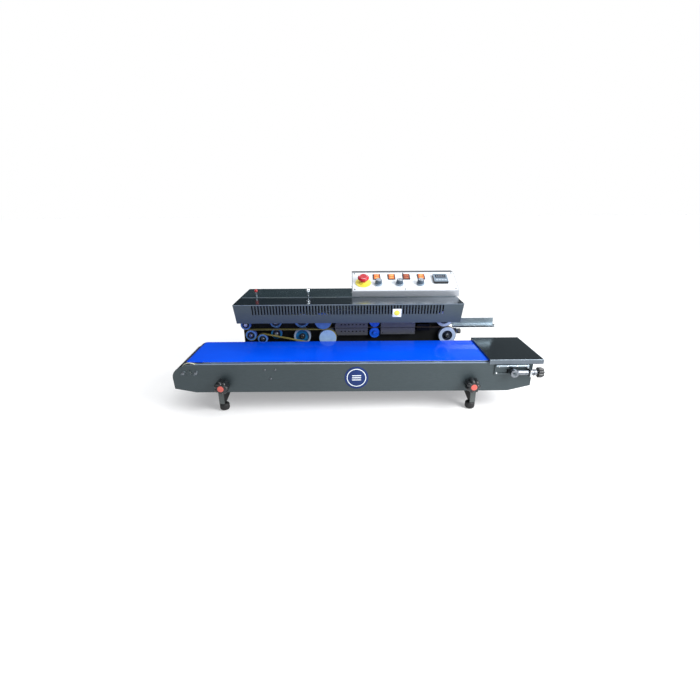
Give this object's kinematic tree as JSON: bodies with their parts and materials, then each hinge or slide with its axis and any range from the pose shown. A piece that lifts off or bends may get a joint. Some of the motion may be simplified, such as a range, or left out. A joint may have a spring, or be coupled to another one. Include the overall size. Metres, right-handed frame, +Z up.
{
  "type": "continuous band sealer",
  "caption": "Tabletop continuous band sealer: a long belt conveyor on adjustable legs in front of a hooded sealing head with wheels, bands, heating and cooling blocks and a sloping control box.",
  "frame": {"origin": "on the floor, at the middle of the machine's footprint", "axes": "+X along the conveyor towards its infeed end, -Y towards the operator, +Z up"},
  "size_m": [1.045, 0.424, 0.3488],
  "materials": {
    "aluminium": "milled",
    "amber_plastic": "lit, translucent",
    "black_paint": "semi-gloss",
    "black_plastic": "fine grain",
    "black_rubber": "matt",
    "chrome": "polished",
    "conveyor_blue": "glossy",
    "dark_stainless": "brushed, half-bright",
    "dial_grey": "satin",
    "guide_belt": "matt",
    "motor_grey": "painted casting",
    "ptfe_band": "satin",
    "red_plastic": "gloss",
    "steel": "turned",
    "wheel_blue": "satin",
    "wheel_grey": "satin",
    "white_panel": "satin",
    "yellow_plastic": "gloss"
  },
  "bodies": {
    "frame": {"base_frame": "black_paint", "housing_feet": "black_rubber", "mount_wall": "black_paint", "rear_cover": "dark_stainless", "power_inlet": "black_plastic", "top_lid": "dark_stainless", "control_box": "dark_stainless", "control_panel": "white_panel", "temperature_controller": "black_plastic", "rocker_bezels": "black_plastic", "estop_collar": "yellow_plastic", "conveyor_rails": "dark_stainless", "slider_bed": "steel", "conveyor_belt": "conveyor_blue", "extension_table": "dark_stainless", "takeup_guides": "black_paint", "fasteners": "chrome", "seal_blocks": "aluminium", "block_guards": "dark_stainless", "sealing_bands": "ptfe_band", "guide_belts": "guide_belt", "infeed_guide": "steel", "wheel_arbors": "steel", "gear_motor": "motor_grey"},
    "front_guard": {"front_guard": "dark_stainless"},
    "drive_roller": {"drive_roller": "steel"},
    "takeup_slide": {"takeup_slide": "chrome"},
    "idle_roller": {"idle_roller": "steel"},
    "takeup_knob_front": {"takeup_knob_front": "black_plastic"},
    "takeup_knob_rear": {"takeup_knob_rear": "black_plastic"},
    "wheel_1_upper": {"wheel_1_upper": "wheel_blue"},
    "wheel_1_lower": {"wheel_1_lower": "wheel_blue"},
    "wheel_2_upper": {"wheel_2_upper": "wheel_blue"},
    "wheel_2_lower": {"wheel_2_lower": "wheel_blue"},
    "wheel_3_upper": {"wheel_3_upper": "wheel_blue"},
    "wheel_3_lower": {"wheel_3_lower": "wheel_blue"},
    "wheel_5_upper": {"wheel_5_upper": "wheel_blue"},
    "wheel_5_lower": {"wheel_5_lower": "wheel_blue"},
    "wheel_6_upper": {"wheel_6_upper": "wheel_grey"},
    "wheel_6_lower": {"wheel_6_lower": "wheel_grey"},
    "wheel_4_upper": {"wheel_4_upper": "wheel_grey", "drive_gear_upper": "steel"},
    "wheel_4_lower": {"wheel_4_lower": "wheel_grey", "drive_gear_lower": "steel"},
    "tension_wheel": {"tension_wheel": "wheel_blue"},
    "leg_left": {"leg_left": "black_paint"},
    "leg_knob_left": {"leg_knob_left": "black_plastic"},
    "leg_right": {"leg_right": "black_paint"},
    "leg_knob_right": {"leg_knob_right": "black_plastic"},
    "estop_button": {"estop_button": "red_plastic"},
    "rocker_1": {"rocker_1": "amber_plastic"},
    "rocker_2": {"rocker_2": "amber_plastic"},
    "rocker_3": {"rocker_3": "amber_plastic"},
    "rocker_4": {"rocker_4": "amber_plastic"},
    "dial_1": {"dial_1": "dial_grey"},
    "dial_2": {"dial_2": "dial_grey"},
    "dial_3": {"dial_3": "dial_grey"},
    "lid_screw_left": {"lid_screw_left": "chrome"},
    "lid_screw_right": {"lid_screw_right": "chrome"},
    "band_tension_knob": {"band_tension_knob": "black_plastic"}
  },
  "joints": [
    {"name": "guard_hinge", "type": "hinge", "parent": "frame", "child": "front_guard", "pos_m": [-0.0233, 0.07, 0.2798], "axis": [-1, 0, 0], "range_deg": [0, 85]},
    {"name": "drive_roller_spin", "type": "hinge", "parent": "frame", "child": "drive_roller", "pos_m": [-0.4736, -0.082, 0.124], "axis": [0, -1, 0], "continuous": true},
    {"name": "takeup_travel", "type": "slide", "parent": "frame", "child": "takeup_slide", "axis": [1, 0, 0], "range_m": [-0.008, 0]},
    {"name": "idle_roller_spin", "type": "hinge", "parent": "takeup_slide", "child": "idle_roller", "pos_m": [0.437, -0.082, 0.124], "axis": [0, -1, 0], "continuous": true},
    {"name": "takeup_knob_front_turn", "type": "hinge", "parent": "frame", "child": "takeup_knob_front", "pos_m": [0.509, -0.191, 0.124], "axis": [1, 0, 0], "range_deg": [-1441, 0]},
    {"name": "takeup_knob_rear_turn", "type": "hinge", "parent": "frame", "child": "takeup_knob_rear", "pos_m": [0.509, 0.027, 0.124], "axis": [1, 0, 0], "range_deg": [-1441, 0]},
    {"name": "wheel_1_upper_spin", "type": "hinge", "parent": "frame", "child": "wheel_1_upper", "pos_m": [-0.3557, 0.04, 0.1998], "axis": [0, -1, 0], "continuous": true},
    {"name": "wheel_1_lower_spin", "type": "hinge", "parent": "frame", "child": "wheel_1_lower", "pos_m": [-0.3417, 0.04, 0.1642], "axis": [0, -1, 0], "continuous": true},
    {"name": "wheel_2_upper_spin", "type": "hinge", "parent": "frame", "child": "wheel_2_upper", "pos_m": [-0.2617, 0.06, 0.2033], "axis": [0, -1, 0], "continuous": true},
    {"name": "wheel_2_lower_spin", "type": "hinge", "parent": "frame", "child": "wheel_2_lower", "pos_m": [-0.2617, 0.06, 0.1632], "axis": [0, -1, 0], "continuous": true},
    {"name": "wheel_3_upper_spin", "type": "hinge", "parent": "frame", "child": "wheel_3_upper", "pos_m": [-0.1767, 0.06, 0.2088], "axis": [0, -1, 0], "continuous": true},
    {"name": "wheel_3_lower_spin", "type": "hinge", "parent": "frame", "child": "wheel_3_lower", "pos_m": [-0.1767, 0.06, 0.1532], "axis": [0, -1, 0], "continuous": true},
    {"name": "wheel_5_upper_spin", "type": "hinge", "parent": "frame", "child": "wheel_5_upper", "pos_m": [0.0624, 0.06, 0.2008], "axis": [0, -1, 0], "continuous": true},
    {"name": "wheel_5_lower_spin", "type": "hinge", "parent": "frame", "child": "wheel_5_lower", "pos_m": [0.0624, 0.06, 0.1642], "axis": [0, -1, 0], "continuous": true},
    {"name": "wheel_6_upper_spin", "type": "hinge", "parent": "frame", "child": "wheel_6_upper", "pos_m": [0.2904, 0.06, 0.2108], "axis": [0, -1, 0], "continuous": true},
    {"name": "wheel_6_lower_spin", "type": "hinge", "parent": "frame", "child": "wheel_6_lower", "pos_m": [0.3034, 0.06, 0.1532], "axis": [0, -1, 0], "continuous": true},
    {"name": "wheel_4_upper_spin", "type": "hinge", "parent": "frame", "child": "wheel_4_upper", "pos_m": [-0.1057, 0.04, 0.21167], "axis": [0, -1, 0], "continuous": true},
    {"name": "wheel_4_lower_spin", "type": "hinge", "parent": "frame", "child": "wheel_4_lower", "pos_m": [-0.0917, 0.04, 0.15333], "axis": [0, -1, 0], "continuous": true},
    {"name": "tension_wheel_spin", "type": "hinge", "parent": "frame", "child": "tension_wheel", "pos_m": [-0.3047, 0.04, 0.1515], "axis": [0, -1, 0], "continuous": true},
    {"name": "leg_left_travel", "type": "slide", "parent": "frame", "child": "leg_left", "axis": [0, 0, 1], "range_m": [-0.02, 0]},
    {"name": "leg_knob_left_turn", "type": "hinge", "parent": "frame", "child": "leg_knob_left", "pos_m": [-0.3806, -0.2, 0.088], "axis": [0, 1, 0], "range_deg": [-720, 0]},
    {"name": "leg_right_travel", "type": "slide", "parent": "frame", "child": "leg_right", "axis": [0, 0, 1], "range_m": [-0.02, 0]},
    {"name": "leg_knob_right_turn", "type": "hinge", "parent": "frame", "child": "leg_knob_right", "pos_m": [0.324, -0.2, 0.088], "axis": [0, 1, 0], "range_deg": [-720, 0]},
    {"name": "estop_press", "type": "slide", "parent": "frame", "child": "estop_button", "axis": [0, -0.3926, 0.9197], "range_m": [-0.005, 0], "stiffness_N_per_m": 600, "springref_m": 0.002},
    {"name": "rocker_1_tilt", "type": "hinge", "parent": "frame", "child": "rocker_1", "pos_m": [0.0724, 0.14507, 0.33089], "axis": [-1, 0, 0], "range_deg": [0, 16]},
    {"name": "rocker_2_tilt", "type": "hinge", "parent": "frame", "child": "rocker_2", "pos_m": [0.1224, 0.14507, 0.33089], "axis": [-1, 0, 0], "range_deg": [0, 16]},
    {"name": "rocker_3_tilt", "type": "hinge", "parent": "frame", "child": "rocker_3", "pos_m": [0.1724, 0.14507, 0.33089], "axis": [-1, 0, 0], "range_deg": [0, 16]},
    {"name": "rocker_4_tilt", "type": "hinge", "parent": "frame", "child": "rocker_4", "pos_m": [0.2224, 0.14507, 0.33089], "axis": [-1, 0, 0], "range_deg": [0, 16]},
    {"name": "dial_1_turn", "type": "hinge", "parent": "frame", "child": "dial_1", "pos_m": [0.0764, 0.10599, 0.31802], "axis": [0, 0.3926, -0.9197], "range_deg": [0, 270]},
    {"name": "dial_2_turn", "type": "hinge", "parent": "frame", "child": "dial_2", "pos_m": [0.1464, 0.10599, 0.31802], "axis": [0, 0.3926, -0.9197], "range_deg": [0, 270]},
    {"name": "dial_3_turn", "type": "hinge", "parent": "frame", "child": "dial_3", "pos_m": [0.2154, 0.10599, 0.31802], "axis": [0, 0.3926, -0.9197], "range_deg": [0, 270]},
    {"name": "lid_screw_left_turn", "type": "hinge", "parent": "frame", "child": "lid_screw_left", "pos_m": [-0.326, 0.089, 0.285], "axis": [0, 0, 1], "range_deg": [-720, 720]},
    {"name": "lid_screw_right_turn", "type": "hinge", "parent": "frame", "child": "lid_screw_right", "pos_m": [-0.1557, 0.089, 0.285], "axis": [0, 0, 1], "range_deg": [-720, 720]},
    {"name": "band_tension_knob_turn", "type": "hinge", "parent": "frame", "child": "band_tension_knob", "pos_m": [0.342, 0.06, 0.166], "axis": [1, 0, 0], "range_deg": [-720, 720]}
  ],
  "couplings": [
    {"joint": "idle_roller_spin", "follows": "drive_roller_spin", "ratio": 1},
    {"joint": "takeup_knob_front_turn", "follows": "takeup_travel", "rad_per_m": 3141.5},
    {"joint": "takeup_knob_rear_turn", "follows": "takeup_travel", "rad_per_m": 3141.5},
    {"joint": "wheel_1_upper_spin", "follows": "drive_roller_spin", "ratio": -1.6687},
    {"joint": "wheel_1_lower_spin", "follows": "drive_roller_spin", "ratio": 1.5706},
    {"joint": "wheel_2_upper_spin", "follows": "drive_roller_spin", "ratio": -1.3692},
    {"joint": "wheel_2_lower_spin", "follows": "drive_roller_spin", "ratio": 1.4833},
    {"joint": "wheel_3_upper_spin", "follows": "drive_roller_spin", "ratio": -1.068},
    {"joint": "wheel_3_lower_spin", "follows": "drive_roller_spin", "ratio": 0.95357},
    {"joint": "wheel_5_upper_spin", "follows": "drive_roller_spin", "ratio": -1.5706},
    {"joint": "wheel_5_lower_spin", "follows": "drive_roller_spin", "ratio": 1.5706},
    {"joint": "wheel_6_upper_spin", "follows": "drive_roller_spin", "ratio": -0.98889},
    {"joint": "wheel_6_lower_spin", "follows": "drive_roller_spin", "ratio": 0.95357},
    {"joint": "wheel_4_upper_spin", "follows": "drive_roller_spin", "ratio": -0.95802},
    {"joint": "wheel_4_lower_spin", "follows": "drive_roller_spin", "ratio": 0.95802},
    {"joint": "tension_wheel_spin", "follows": "drive_roller_spin", "ratio": -1.6687}
  ]
}
